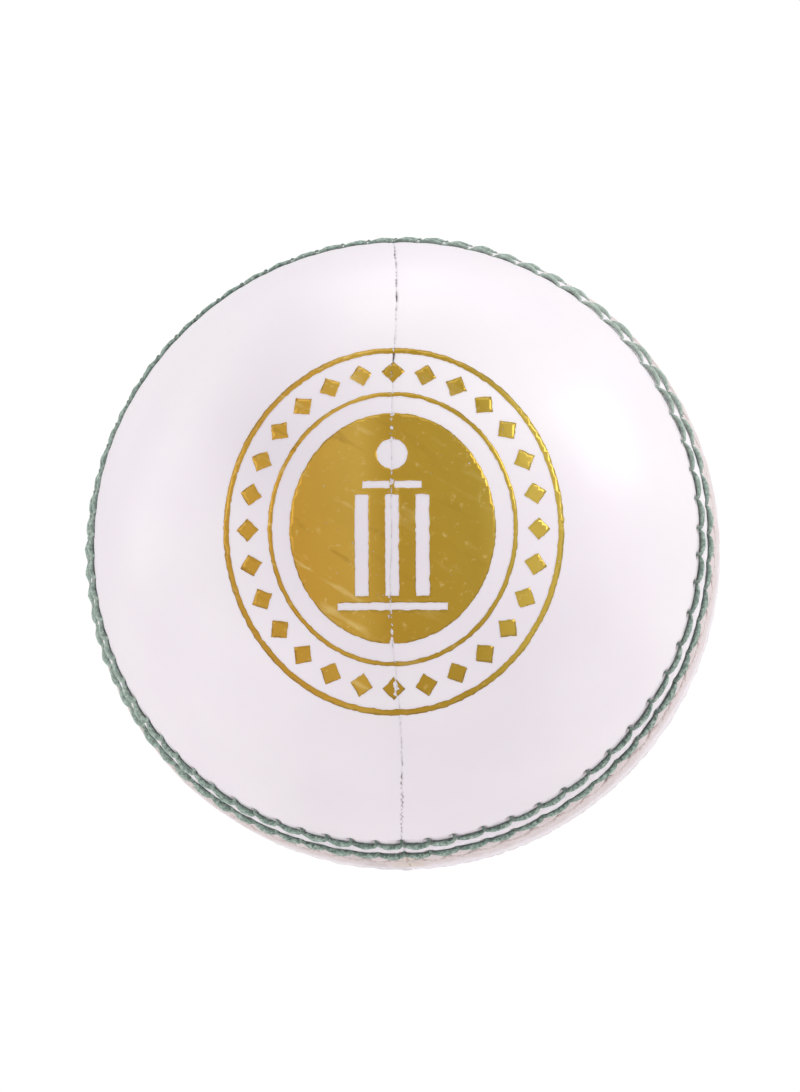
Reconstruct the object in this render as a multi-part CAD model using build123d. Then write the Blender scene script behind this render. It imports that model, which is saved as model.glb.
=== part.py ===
"""Two-tone men's cricket ball, built in layers the way the real one is built.

Millimetres.  Origin at the ball centre, +Z up.  The main seam stands upright
in the XZ plane, so the axis through the two leather cups is Y.  The cup with
the foil badge faces -Y.

Cup parts are modelled in a cup frame, axis Z and rim at z = 0, then turned
into the ball frame by to_front() or to_back().
"""
import math
import os
from typing import NamedTuple

from build123d import *

# ------------------------------------------------------------------ leather
LEATHER_R = 35.75          # outside radius of the leather away from the seam
RIDGE_R = 36.20            # top of the raised ridge either side of the joint
COVER_IN_R = 32.15         # inside of the leather
LINING_OUT_R = 32.10
LINING_IN_R = 31.20
JOINT_GAP = 0.03           # half the gap left between neighbouring edges
GROOVE_HALF = 0.80         # half width of the trough a stitch row sits in

# ------------------------------------------------------------------ core
NUCLEUS_R = 13.00          # cork core
YARN_R = 1.15              # radius of one strand of worsted yarn
YARN_PITCH = 2.45          # spacing of the turns
ARCS_PER_TURN = 5          # arcs that make up one turn of the spiral
# each winding: centre radius, axis it is tilted about, tilt in degrees
WINDINGS = [
    (14.25, (1, 0, 0), 0),
    (18.30, (1, 0, 0), 90),
    (22.35, (0, 1, 0), 90),
    (26.40, (1, 1, 0), 55),
    (30.02, (1, -1, 0), 55),
]
# inner and outer radius of each cork layer; it is tilted as the winding over it
CORK_LAYERS = [(15.50, 17.05), (19.55, 21.10), (23.60, 25.15), (27.65, 28.78)]
CORK_GORES = 6             # pieces of cork peel in one layer
GORE_GAP = 0.35            # degrees left between neighbouring gores

# ------------------------------------------------------------------ main seam
STITCHES = 72              # stitches in each row
PITCH = 2.0 * math.pi / STITCHES
THREAD_R = 0.31            # seam thread radius
THREAD_CLEAR = 0.025       # clearance round a thread in its hole
HOLE_R = THREAD_R + THREAD_CLEAR
HOLE_OVERRUN = 0.15        # how far a hole runs past the thread centre on the surface
PASS_OFFSET = 0.325        # half the spacing of the two threads in one hole
SLANT = 0.42               # half the slant of one stitch across its row
THREAD_END = 0.15          # distance of a thread end from the joint plane
BEND_EXTRA = 0.03          # bend radius of a thread over its own radius


class Row(NamedTuple):
    """One stitched pass, with a row of stitches either side of the joint."""
    height: float          # distance of the row from the joint
    top_r: float           # radius of the thread centre on the surface
    cross_r: float         # radius at which the thread crosses under the joint
    phase: float           # angle of the first station

    @property
    def offset(self):
        """Angle of a thread either side of the middle of its hole."""
        return PASS_OFFSET / self.cross_r


OUTER = Row(8.60, 34.72, 33.30, 0.25 * PITCH)
MIDDLE = Row(5.80, 35.33, 34.20, 0.25 * PITCH)
CLOSING = Row(3.40, 35.75, 34.85, 0.75 * PITCH)
SEAM_ROWS = {"outer": OUTER, "middle": MIDDLE, "closing": CLOSING}

# ------------------------------------------------------------------ quarter joints
QUARTER_STATIONS = 25      # hidden stitches along a quarter joint
QUARTER_SPAN = 140.0       # degrees of the joint they cover
QUARTER_START = 90.0 - QUARTER_SPAN / 2.0
QUARTER_SIDE = 1.50        # distance of the hidden stitches from the joint
QUARTER_CROSS_R = 33.60    # radius at which they cross the joint
QUARTER_THREAD_R = 0.30
SLOT_CLEAR = 0.03          # clearance round the thread in its slots
TROUGH_CLEAR = 0.08        # clearance round the thread in its trough
TROUGH_OVERRUN = 1.2       # degrees the trough runs past each end
SLOT_OVERRUN = 0.5         # how far a slot starts below the inside face

# ------------------------------------------------------------------ foil badge
BADGE_IN_R = 35.76         # a thin skin on the leather
BADGE_OUT_R = 35.84
BADGE_DIR = (0.0642, -0.9930, -0.0991)   # centre of the badge seen from the ball centre
BADGE_CUT_START = 20       # flat outlines are extruded from here along BADGE_DIR
BADGE_CUT_LENGTH = 20
# ovals: half width, half height, then line width
BADGE_RINGS = [(18.6, 20.2, 0.60), (13.6, 15.0, 0.45)]
BADGE_OVAL = (11.2, 12.6)
LOZENGES = 28
LOZENGE_SIZE = 1.75
LOZENGE_OVAL = (15.9, 17.4)              # oval the lozenge centres lie on
# bare rectangles in the oval: centre x, centre y, width, height
BADGE_BARE_BARS = [
    (-3.3, -2.0, 1.5, 11.0), (0.0, -2.0, 1.5, 11.0), (3.3, -2.0, 1.5, 11.0),  # stumps
    (-1.75, 4.6, 3.0, 0.8), (1.75, 4.6, 3.0, 0.8),                            # bails
]
BADGE_BALL_R = 1.7
BADGE_BALL_Y = 8.0
BADGE_BASE_BAR = (0.0, -8.6, 12.0, 0.8)  # below the stumps


# ------------------------------------------------------------------ helpers
def seam_point(radius, angle, z):
    """Point at an angle round the Z axis."""
    return Vector(radius * math.cos(angle), radius * math.sin(angle), z)


def meridian_point(radius, degrees):
    """Point in the XZ plane, so many degrees above the rim."""
    angle = math.radians(degrees)
    return Vector(radius * math.cos(angle), 0, radius * math.sin(angle))


def rim_point(radius):
    """Point on a sphere of this radius, half a joint gap above the rim plane."""
    return Vector(math.sqrt(radius * radius - JOINT_GAP ** 2), 0, JOINT_GAP)


def sphere(radius, plane=Plane.XY):
    return Solid.make_sphere(radius, plane, angle1=-90, angle2=90, angle3=360)


def round_sweep(path, start, direction, radius):
    section = Face(Wire.make_circle(radius, Plane(origin=start, z_dir=direction)))
    return Solid.sweep(section, path)


def rounded_path(points, bend_r):
    """Wire of straight runs joined by tangent arcs of radius bend_r."""
    edges = []
    previous = points[0]
    for before, corner, after in zip(points, points[1:], points[2:]):
        back = (before - corner).normalized()
        ahead = (after - corner).normalized()
        angle = math.acos(max(-1.0, min(1.0, back.dot(ahead))))
        setback = bend_r / math.tan(angle / 2.0)
        arc_start = corner + back * setback
        arc_end = corner + ahead * setback
        depth = bend_r / math.sin(angle / 2.0) - bend_r
        arc_mid = corner + (back + ahead).normalized() * depth
        edges.append(Edge.make_line(previous, arc_start))
        edges.append(Edge.make_three_point_arc(arc_start, arc_mid, arc_end))
        previous = arc_end
    edges.append(Edge.make_line(previous, points[-1]))
    return Wire(edges)


def thread(points, radius):
    """Round thread through the points, with bent corners."""
    path = rounded_path(points, radius + BEND_EXTRA)
    return round_sweep(path, points[0], points[1] - points[0], radius)


def to_front(shape):
    """Cup frame to the front (-Y) cup of the ball."""
    return shape.rotate(Axis.X, 90.0)


def to_back(shape):
    """Cup frame to the back (+Y) cup, which sits a quarter turn round from the front."""
    return to_front(shape.rotate(Axis((0, 0, 0), (1, 1, 0)), 180.0))


def save(name, *shapes):
    for shape in shapes:
        shape.label = name
    if len(shapes) == 1:
        part = shapes[0]
    else:
        part = Compound(children=shapes)
        part.label = name
    export_step(part, os.path.join("parts", name + ".step"))


# ------------------------------------------------------------------ core
def yarn_winding(mid_r):
    """One layer of yarn wound pole to pole in a continuous spiral."""
    pole_gap = 2.2 * YARN_R / mid_r      # angle left open at each pole
    sweep = math.pi - 2.0 * pole_gap
    turns = sweep * mid_r / YARN_PITCH
    count = int(turns * ARCS_PER_TURN)

    def at(fraction):
        polar = pole_gap + sweep * fraction
        around = 2.0 * math.pi * turns * fraction
        return seam_point(mid_r * math.sin(polar), around, mid_r * math.cos(polar))

    edges = [Edge.make_three_point_arc(at(i / count), at((i + 0.5) / count), at((i + 1) / count))
             for i in range(count)]
    return round_sweep(Wire(edges), edges[0] @ 0, edges[0] % 0, YARN_R)


def cork_layer(in_r, out_r):
    """Peel of thin curved cork pieces laid over the winding below."""
    profile = Face(Wire([
        Edge.make_line(Vector(0, 0, -out_r), Vector(0, 0, -in_r)),
        Edge.make_three_point_arc(Vector(0, 0, -in_r), Vector(in_r, 0, 0), Vector(0, 0, in_r)),
        Edge.make_line(Vector(0, 0, in_r), Vector(0, 0, out_r)),
        Edge.make_three_point_arc(Vector(0, 0, out_r), Vector(out_r, 0, 0), Vector(0, 0, -out_r)),
    ]))
    span = 360.0 / CORK_GORES
    gore = Solid.revolve(profile, span - GORE_GAP, Axis.Z)
    return [gore.rotate(Axis.Z, span * i) for i in range(CORK_GORES)]


def save_core():
    save("cork_nucleus", sphere(NUCLEUS_R))
    for i, (mid_r, axis, tilt) in enumerate(WINDINGS, 1):
        save(f"yarn_winding_{i}", yarn_winding(mid_r).rotate(Axis((0, 0, 0), axis), tilt))
    for i, (radii, (_, axis, tilt)) in enumerate(zip(CORK_LAYERS, WINDINGS[1:]), 1):
        gores = [gore.rotate(Axis((0, 0, 0), axis), tilt) for gore in cork_layer(*radii)]
        save(f"cork_layer_{i}", *gores)


# ------------------------------------------------------------------ threads
def seam_thread(row, start):
    """One of the two threads of a saddle-stitched pass round the ball (cup frame).

    Stitches lie alternately above and below the joint.
    """
    points = [seam_point(row.cross_r, start + row.offset, THREAD_END)]
    for i in range(STITCHES):
        side = 1 if i % 2 == 0 else -1
        first = start + i * PITCH + side * row.offset
        last = start + (i + 1) * PITCH - side * row.offset
        first_z = side * (row.height + SLANT)
        last_z = side * (row.height - SLANT)
        points += [seam_point(row.cross_r, first, first_z), seam_point(row.top_r, first, first_z),
                   seam_point(row.top_r, last, last_z), seam_point(row.cross_r, last, last_z)]
    end = start + STITCHES * PITCH + row.offset
    points.append(seam_point(row.cross_r, end, -THREAD_END))
    return thread(points, THREAD_R)


def quarter_angles():
    step = QUARTER_SPAN / (QUARTER_STATIONS - 1)
    return [math.radians(QUARTER_START + step * i) for i in range(QUARTER_STATIONS)]


def quarter_thread():
    """Hidden stitches joining the two leather quarters of a cup (cup frame)."""
    def at(x, radius, angle):
        return Vector(x, radius * math.cos(angle), radius * math.sin(angle))

    first, *between, last = quarter_angles()
    side = QUARTER_SIDE
    points = [at(side, COVER_IN_R, first)]
    for angle in between:
        points += [at(side, COVER_IN_R, angle), at(side, QUARTER_CROSS_R, angle),
                   at(-side, QUARTER_CROSS_R, angle), at(-side, COVER_IN_R, angle)]
        side = -side
    points.append(at(side, COVER_IN_R, last))
    return thread(points, QUARTER_THREAD_R)


def quarter_trough(side):
    """Cutter for the trough of the hidden stitches, part in leather, part in lining."""
    centre = Plane(origin=Vector(side, COVER_IN_R, 0), z_dir=(0, 0, 1))
    section = Face(Wire.make_circle(QUARTER_THREAD_R + TROUGH_CLEAR, centre))
    trough = Solid.revolve(section, QUARTER_SPAN + 2 * TROUGH_OVERRUN, Axis.X)
    return trough.rotate(Axis.X, QUARTER_START - TROUGH_OVERRUN)


# ------------------------------------------------------------------ cover
def cover_body():
    """Uncut leather quarter: half a cup on the +X side (cup frame)."""
    half = GROOVE_HALF
    outer, middle, closing = OUTER.height, MIDDLE.height, CLOSING.height
    edge_z = outer + half + 0.05
    # outside of the seam band: height above the joint, radius
    outline = [
        (JOINT_GAP, RIDGE_R - 0.25), (0.35, RIDGE_R),
        (closing - half - 0.10, RIDGE_R - 0.03),
        (closing - half, 35.35), (closing + half, 35.35),      # closing trough
        (closing + half + 0.05, 35.80), (middle - half - 0.10, 35.68),
        (middle - half, 34.93), (middle + half, 34.93),        # middle trough
        (middle + half + 0.05, 35.30), (outer - half - 0.08, 35.00),
        (outer - half, 34.31), (outer + half, 34.31),          # outer trough
        (edge_z, math.sqrt(LEATHER_R ** 2 - edge_z ** 2)),
    ]
    points = [Vector(radius, 0, z) for z, radius in outline]
    out_pole = Vector(0, 0, LEATHER_R)
    in_pole = Vector(0, 0, COVER_IN_R)
    in_rim = rim_point(COVER_IN_R)
    edges = [Edge.make_line(a, b) for a, b in zip(points, points[1:])]
    edges += [
        Edge.make_three_point_arc(points[-1], meridian_point(LEATHER_R, 52.0), out_pole),
        Edge.make_line(out_pole, in_pole),
        Edge.make_three_point_arc(in_pole, meridian_point(COVER_IN_R, 45.0), in_rim),
        Edge.make_line(in_rim, points[0]),
    ]
    half_gap = math.degrees(JOINT_GAP / LEATHER_R)
    body = Solid.revolve(Face(Wire(edges)), 180.0 - 2.0 * half_gap, Axis.Z)
    return body.rotate(Axis.Z, -90.0 + half_gap)


def row_cutters(row, phase):
    """For each station of a row, a slot from the joint and two holes to the surface."""
    cutters = []
    half_width = PASS_OFFSET + HOLE_R
    for i in range(-STITCHES // 2, STITCHES // 2 + 1):
        angle = phase + i * PITCH
        if abs(angle) > math.pi / 2.0:
            continue
        outward = seam_point(1, angle, 0)
        tangent = Vector(-math.sin(angle), math.cos(angle), 0)
        corner = outward * (row.cross_r - HOLE_R) - tangent * half_width
        cutters.append(Solid.make_box(2 * HOLE_R, 2 * half_width, row.height + SLANT + HOLE_R,
                                      Plane(origin=corner, x_dir=outward, z_dir=(0, 0, 1))))
        for side in (1, -1):
            hole_angle = angle + side * row.offset
            foot = seam_point(row.cross_r, hole_angle, row.height + side * SLANT)
            cutters.append(Solid.make_cylinder(
                HOLE_R, row.top_r - row.cross_r + HOLE_OVERRUN,
                Plane(origin=foot, z_dir=seam_point(1, hole_angle, 0))))
    return cutters


def quarter_cutters():
    """Slots for the hidden stitches: across the joint, then down to the inside face."""
    cutters = []
    half = QUARTER_THREAD_R + SLOT_CLEAR
    for angle in quarter_angles()[1:-1]:
        outward = Vector(0, math.cos(angle), math.sin(angle))
        tangent = Vector(0, -math.sin(angle), math.cos(angle))
        across = outward * (QUARTER_CROSS_R - half) + tangent * half
        cutters.append(Solid.make_box(QUARTER_SIDE + half, 2 * half, 2 * half,
                                      Plane(origin=across, x_dir=(1, 0, 0), z_dir=outward)))
        down = (outward * (COVER_IN_R - SLOT_OVERRUN) + tangent * half
                + Vector(QUARTER_SIDE - half, 0, 0))
        cutters.append(Solid.make_box(2 * half, 2 * half,
                                      QUARTER_CROSS_R - COVER_IN_R + SLOT_OVERRUN,
                                      Plane(origin=down, x_dir=(1, 0, 0), z_dir=outward)))
    return cutters


def cover_quarter(is_back):
    """Leather quarter on the +X side (cup frame).

    to_back() mirrors the angles round the seam, so a back quarter counts its
    stations the other way to meet the front ones.
    """
    cutters = []
    for row in SEAM_ROWS.values():
        phase = math.pi / 2.0 - row.phase if is_back else row.phase
        cutters += row_cutters(row, phase)
    cutters += quarter_cutters()
    cutters.append(quarter_trough(QUARTER_SIDE))
    return cover_body().cut(*cutters)


def lining_cup():
    """Thin leather lining of a cup, with troughs for the hidden stitches."""
    def arc_points(radius):
        return rim_point(radius), meridian_point(radius, 45.0), Vector(0, 0, radius)

    out_rim, out_mid, out_pole = arc_points(LINING_OUT_R)
    in_rim, in_mid, in_pole = arc_points(LINING_IN_R)
    profile = Face(Wire([
        Edge.make_three_point_arc(out_rim, out_mid, out_pole),
        Edge.make_line(out_pole, in_pole),
        Edge.make_three_point_arc(in_pole, in_mid, in_rim),
        Edge.make_line(in_rim, out_rim),
    ]))
    cup = Solid.revolve(profile, 360.0, Axis.Z)
    return cup.cut(quarter_trough(QUARTER_SIDE), quarter_trough(-QUARTER_SIDE))


def save_cups():
    lining = lining_cup()
    save("lining_cup_front", to_front(lining))
    save("lining_cup_back", to_back(lining))

    front = cover_quarter(is_back=False)
    save("cover_front_right", to_front(front))
    save("cover_front_left", to_front(front.rotate(Axis.Z, 180.0)))
    back = cover_quarter(is_back=True)
    save("cover_back_upper", to_back(back))
    save("cover_back_lower", to_back(back.rotate(Axis.Z, 180.0)))


def save_threads():
    hidden = quarter_thread()
    save("quarter_thread_front", to_front(hidden))
    save("quarter_thread_back", to_back(hidden))
    for name, row in SEAM_ROWS.items():
        save(f"{name}_seam_thread_a", to_front(seam_thread(row, row.phase)))
        save(f"{name}_seam_thread_b", to_front(seam_thread(row, row.phase + PITCH)))


# ------------------------------------------------------------------ badge
def oval(half_width, half_height):
    return Face(Wire.make_ellipse(half_width, half_height, Plane.XY))


def bar(x, y, width, height, turn=0.0):
    plane = Plane.XY.rotated((0, 0, turn))
    return Face.make_rect(width, height, plane).translate(Vector(x, y, 0))


def badge_faces():
    """Flat outlines of the foil badge, x to the right and y up."""
    faces = [oval(a, b).cut(oval(a - line, b - line)) for a, b, line in BADGE_RINGS]
    # lozenges between the two thin lines
    for i in range(LOZENGES):
        angle = 2.0 * math.pi * i / LOZENGES
        faces.append(bar(LOZENGE_OVAL[0] * math.cos(angle), LOZENGE_OVAL[1] * math.sin(angle),
                         LOZENGE_SIZE, LOZENGE_SIZE, math.degrees(angle) + 45.0))
    # solid oval with a wicket and a ball left as bare leather
    bare = [bar(*sizes) for sizes in BADGE_BARE_BARS]
    ball = Face(Wire.make_circle(BADGE_BALL_R, Plane.XY))
    bare.append(ball.translate(Vector(0.0, BADGE_BALL_Y, 0)))
    bare.append(bar(*BADGE_BASE_BAR))
    faces.append(oval(*BADGE_OVAL).cut(*bare))
    return faces


def foil_badge():
    """The flat outlines projected onto a thin spherical skin."""
    outward = Vector(*BADGE_DIR).normalized()
    right = Vector(0, 0, 1).cross(outward).normalized()
    plane = Plane(origin=(0, 0, 0), x_dir=right, z_dir=outward)
    skin = sphere(BADGE_OUT_R, plane).cut(sphere(BADGE_IN_R, plane))
    solids = []
    for face in badge_faces():
        column = Solid.extrude(face, Vector(0, 0, BADGE_CUT_LENGTH))
        column = plane.from_local_coords(column.translate(Vector(0, 0, BADGE_CUT_START)))
        common = column.intersect(skin)
        # intersect may give one shape or a list of them
        for shape in (common if isinstance(common, (list, tuple)) else [common]):
            solids.extend(shape.solids())
    return solids


def main():
    os.makedirs("parts", exist_ok=True)
    save_core()
    save_cups()
    save_threads()
    save("foil_badge", *foil_badge())


main()
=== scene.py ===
"""White leather ball, stitched round a raised seam, with a gold foil badge on its front.

Ball frame: X right, Y back, Z up, centre at the origin.  Two cups, the front one facing -Y
and the back one +Y, meet at the seam in the XZ plane.  Each cup is two leather quarters.

Shapes are worked out in millimetres in a cup frame: the seam is at z = 0 and the pole is on
+z.  phi is the angle round the seam and h the height of a point above the seam plane.
"""

import math

import bmesh
import bpy
import numpy as np
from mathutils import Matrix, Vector
from mathutils.geometry import delaunay_2d_cdt


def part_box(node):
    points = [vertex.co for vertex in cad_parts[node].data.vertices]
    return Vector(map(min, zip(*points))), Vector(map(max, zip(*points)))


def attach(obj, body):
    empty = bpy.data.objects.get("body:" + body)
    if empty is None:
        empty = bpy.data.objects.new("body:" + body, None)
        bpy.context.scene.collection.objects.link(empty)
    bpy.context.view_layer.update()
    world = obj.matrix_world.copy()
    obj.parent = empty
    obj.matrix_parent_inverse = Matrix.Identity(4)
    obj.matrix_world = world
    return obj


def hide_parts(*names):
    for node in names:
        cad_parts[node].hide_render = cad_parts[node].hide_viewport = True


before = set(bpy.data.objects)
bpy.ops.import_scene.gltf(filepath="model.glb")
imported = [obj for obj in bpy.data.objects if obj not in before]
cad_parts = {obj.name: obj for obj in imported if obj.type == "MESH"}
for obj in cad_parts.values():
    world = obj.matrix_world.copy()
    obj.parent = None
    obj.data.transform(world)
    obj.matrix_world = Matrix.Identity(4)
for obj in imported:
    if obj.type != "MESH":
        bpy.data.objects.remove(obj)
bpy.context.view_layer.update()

# ---------------------------------------------------------------- sizes, mm
MM_PER_M = 1000.0
THREADS = ("outer_seam_thread", "middle_seam_thread", "closing_seam_thread")
THREAD_REACH = 0.73                  # how far a CAD thread reaches past its row
COVER_LOW, COVER_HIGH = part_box("cover_front_right")
R = -COVER_LOW[1] * MM_PER_M         # leather radius
RIDGE = COVER_HIGH[0] * MM_PER_M     # radius of the ridge at the seam
R_IN = max(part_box("lining_cup_front")[1]) * MM_PER_M + 0.05      # inside of the leather


def row_height(node):
    low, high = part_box(node)
    return max(high[1], -low[1]) * MM_PER_M - THREAD_REACH


ROWS = [row_height(thread + "_a") for thread in THREADS]
N_STITCH = 72                        # stitches round each row
SEAM_ARC_R = 35.0                    # turns angles round the seam into lengths
SEAM_GAP = 0.03                      # from the seam plane to the edge of the leather
EDGE_H = 10.4                        # top of the stitched band
BLEND_H = 8.0                        # above this the leather starts to swell from the centre
POLAR_EDGE = 90.0 - math.degrees(math.asin(EDGE_H / R))    # the same edge, degrees from the pole
N_COLUMNS = 640                      # columns across one quarter
N_SECTION = 16                       # points round a thread


# ---------------------------------------------------------------- maths
def waves(points, seed, scale, n=10):
    """Smooth repeatable noise, about -1 to 1, at points (..., 3) in mm."""
    rng = np.random.RandomState(seed)
    out = np.zeros(points.shape[:-1])
    for _ in range(n):
        k = rng.normal(size=3)
        k *= 2 * math.pi / scale / np.linalg.norm(k) * rng.uniform(0.6, 1.5)
        out += np.cos(points @ k + rng.uniform(0, 2 * math.pi))
    return out * math.sqrt(2.0 / n) * 0.6


def waves_1d(x, seed, scale, n=8):
    rng = np.random.RandomState(seed)
    out = np.zeros_like(x)
    for _ in range(n):
        turns = x * 2 * math.pi / scale
        out += np.cos(turns * rng.uniform(0.5, 1.6) + rng.uniform(0, 2 * math.pi))
    return out * math.sqrt(2.0 / n) * 0.6


def smooth_interp(x, table):
    """Cubic Hermite through the (x, y) rows of a table, so the curve has no kinks."""
    xs, ys = table.T
    slope = np.gradient(ys, xs)
    i = np.clip(np.searchsorted(xs, x) - 1, 0, len(xs) - 2)
    step = xs[i + 1] - xs[i]
    t = np.clip((x - xs[i]) / step, 0, 1)
    return ((2 * t ** 3 - 3 * t ** 2 + 1) * ys[i] + (t ** 3 - 2 * t ** 2 + t) * step * slope[i]
            + (-2 * t ** 3 + 3 * t ** 2) * ys[i + 1] + (t ** 3 - t ** 2) * step * slope[i + 1])


def bell(x, width):
    return np.exp(-(x / width) ** 2)


def fade(x, edge, width):
    """1 well below the edge, 0 well above it."""
    return 1 / (1 + np.exp((x - edge) / width))


def wrap(angle):
    return (angle + math.pi) % (2 * math.pi) - math.pi


def bell_round(phi, centre, width):
    """Bell round the seam; its centre and width are in degrees."""
    return bell(np.degrees(wrap(phi - math.radians(centre))), width)


def around_axis(radius, phi, height):
    """Cup-frame points from cylindrical coordinates."""
    return np.stack(np.broadcast_arrays(radius * np.cos(phi), radius * np.sin(phi), height), -1)


def cup_to_ball(p, front):
    """Cup frame to ball frame.  The back cup is turned a quarter turn."""
    if front:
        return np.stack([p[..., 0], -p[..., 2], p[..., 1]], -1)
    return np.stack([p[..., 1], p[..., 2], p[..., 0]], -1)


def normalised(vectors):
    return vectors / np.linalg.norm(vectors, axis=-1, keepdims=True)


# ---------------------------------------------------------------- stitch holes
# hole number, degrees round the seam; hand stitching, with wider gaps at the lower right
STITCH_KNOTS = np.array([
    (-16, -240.2), (-8, -209.0), (0, -173.8), (4, -157.8), (8, -140.2), (12, -122.0),
    (16, -103.1), (20, -83.8), (24, -62.2), (28, -39.7), (30, -27.3), (32, -15.1),
    (36, 6.5), (40, 29.2), (44, 51.7), (50, 80.6), (56, 110.0), (64, 151.0),
    (72, 186.2), (80, 219.8)])

# one value for each row: outer, middle, closing
HOLE_STAGGER = (0.0, 0.0, 0.5)       # in stitches
HOLE_SHIFT = (0.0, -0.004, 0.0)      # radians
HOLE_OUT = (1.16, 0.98, 0.66)        # how far outside its row each hole sits, mm
HOLE_DEPTH = (0.50, 0.42, 0.34)      # mm
HOLE_SHADE = (1.0, 1.0, 0.75)        # strength of the painted shade in the holes


def station_angles(row):
    """Angles of the holes of a row, in radians; the last closes the circle."""
    hole = np.arange(N_STITCH + 1) + HOLE_STAGGER[row]
    jitter = np.random.RandomState(60 + row).normal(size=N_STITCH + 1) * 0.0022
    jitter[-1] = jitter[0]
    return np.radians(smooth_interp(hole, STITCH_KNOTS)) + jitter + HOLE_SHIFT[row]


STATIONS = [station_angles(row) for row in range(3)]


def nearest_station(phi, row):
    """Signed angle from the nearest hole, and the fraction of the way between two holes."""
    holes = STATIONS[row]
    angle = np.mod(phi - holes[0], 2 * math.pi) + holes[0]
    i = np.clip(np.searchsorted(holes, angle), 1, N_STITCH)
    left, right = holes[i - 1], holes[i]
    offset = np.where(angle - left < right - angle, angle - left, angle - right)
    return offset, (angle - left) / (right - left)


# ---------------------------------------------------------------- leather surface
# height above the seam plane, rise above the plain sphere
PROFILE = np.array([
    (0.02, 0.10), (0.10, 0.26), (0.30, 0.38), (0.70, 0.44), (1.20, 0.45), (1.80, 0.42),
    (2.30, 0.36), (2.80, 0.28), (3.30, 0.24), (3.80, 0.26), (4.20, 0.28), (4.50, 0.26),
    (4.80, 0.18), (5.20, 0.04), (5.75, -0.05), (6.30, -0.02), (6.60, 0.08), (6.90, 0.15),
    (7.25, 0.15), (7.60, 0.10), (7.90, -0.04), (8.25, -0.17), (8.65, -0.22), (9.10, -0.17),
    (9.50, -0.08), (9.90, -0.02), (10.15, 0.0), (EDGE_H, 0.0)])

# broad patches of painted light and shade on the front hide, darker ones as a painted dark reflection
# near the centre and painted shade at the lower right, lighter ones as painted highlight: sideways
# and up from the front pole, radius (mm), strength
PAINTED_LIGHT_SPOTS = [(-10.0, 5.5, 8.5, -0.055), (-2.0, -6.0, 8.0, -0.050), (-14.0, -17.0, 8.0, 0.045),
              (14.0, 10.0, 7.0, 0.040), (16.0, -13.0, 8.0, -0.030), (2.0, 26.0, 6.0, 0.020)]


def band_rise(h):
    return smooth_interp(np.minimum(h, EDGE_H), PROFILE)


def leather_up(phi, h, points, front):
    """Rise of the leather above the plain sphere, and its masks of painted shade in the holes and of
    the lumpy strip.
    """
    h = np.abs(h)
    up = np.where(h < EDGE_H, band_rise(h), 0.0)
    hole = np.zeros_like(up)
    for row in range(3):
        offset, fraction = nearest_station(phi, row)
        x = offset * SEAM_ARC_R
        y = h - (ROWS[row] + HOLE_OUT[row] - 0.05)
        up -= HOLE_DEPTH[row] * bell(x, 0.30) * bell(y, 0.34)
        up -= 0.10 * bell(x, 0.75) * bell(y, 0.85)              # wide dip round the hole
        # painted shade in each stitch hole
        hole = np.maximum(hole, HOLE_SHADE[row] * bell(x, 0.40) * bell(y, 0.44))
        # the leather ripples with the stitches, most on the seam side of the row
        ripple = np.cos(2 * math.pi * fraction)
        up += 0.085 * ripple * bell(h - (ROWS[row] - 1.35), 0.45)
        up += 0.03 * ripple * bell(h - (ROWS[row] + 1.2), 0.45)
    seed = 10 if front else 40
    band = fade(h, edge=9.6, width=0.4)
    up += band * (0.030 * waves(points, seed + 1, 2.2) + 0.018 * waves(points, seed + 2, 0.9))
    # a lumpy strip between the seam and the rows further out
    lump = fade(-h, edge=-1.5, width=0.3) * fade(h, edge=5.35, width=0.16)
    up += lump * 0.040 * waves(points, seed + 3, 1.3)
    up += 0.05 * waves(points, seed + 4, 24.0) + 0.012 * waves(points, seed + 5, 7.0)
    return up, hole, lump


def leather_tone_and_painted_light(points, front):
    """Relative brightness of the hide: faint random unevenness, and on the front a few broad soft
    patches of painted light and shade.
    """
    tone = 0.012 * waves(points, 90 if front else 91, 16.0)
    if front:
        for x, y, radius, strength in PAINTED_LIGHT_SPOTS:
            tone = tone + strength * (bell(points[..., 0] - x, radius)
                                      * bell(points[..., 1] - y, radius))
    return tone


# ---------------------------------------------------------------- quarter joint
# front joint: degrees along the cup from its pole (up is positive), offset to the right (mm)
JOINT_PATH = np.array([
    (-90, 0.45), (-78.8, 0.55), (-66, 1.37), (-55.7, 1.98), (-45.5, 2.46), (-37.3, 2.57),
    (-27.2, 2.32), (-18.1, 2.16), (-10, 2.42), (1.1, 2.51), (10.2, 2.45), (24.4, 2.29),
    (36.6, 2.22), (52.1, 1.53), (67.7, 0.39), (77.4, -0.29), (90.0, -0.28)])

# open cracks along the front joint: centre, width (degrees), strength
CRACKS = [(62, 7, 0.85), (45, 5, 0.75), (28, 3.2, 0.75), (-61, 14, 0.55)]


def joint_offset(t, front):
    """Sideways offset of the joint at angle t (radians) from the pole."""
    if front:
        x = smooth_interp(np.degrees(t), JOINT_PATH)
        ragged = bell(np.degrees(t) + 60, 20)                   # ragged lower down
    else:
        x = 0.5 * np.sin(2.1 * t + 0.4)
        ragged = 0.3
    along = np.asarray(t) * R
    return (x + 0.07 * waves_1d(along, 77 if front else 78, 6.0) * np.cos(t)
            + 0.10 * ragged * waves_1d(along, 79, 1.3))


def joint_plan(t, front):
    """The joint in the flattened cup, where distance from the pole is in degrees."""
    dx = joint_offset(t, front) / R
    rest = np.sqrt(1 - dx * dx)
    polar = np.degrees(np.arccos(np.clip(rest * np.cos(t), -1, 1)))
    phi = np.arctan2(rest * np.sin(t), dx)
    return polar * np.cos(phi), polar * np.sin(phi)


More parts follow.
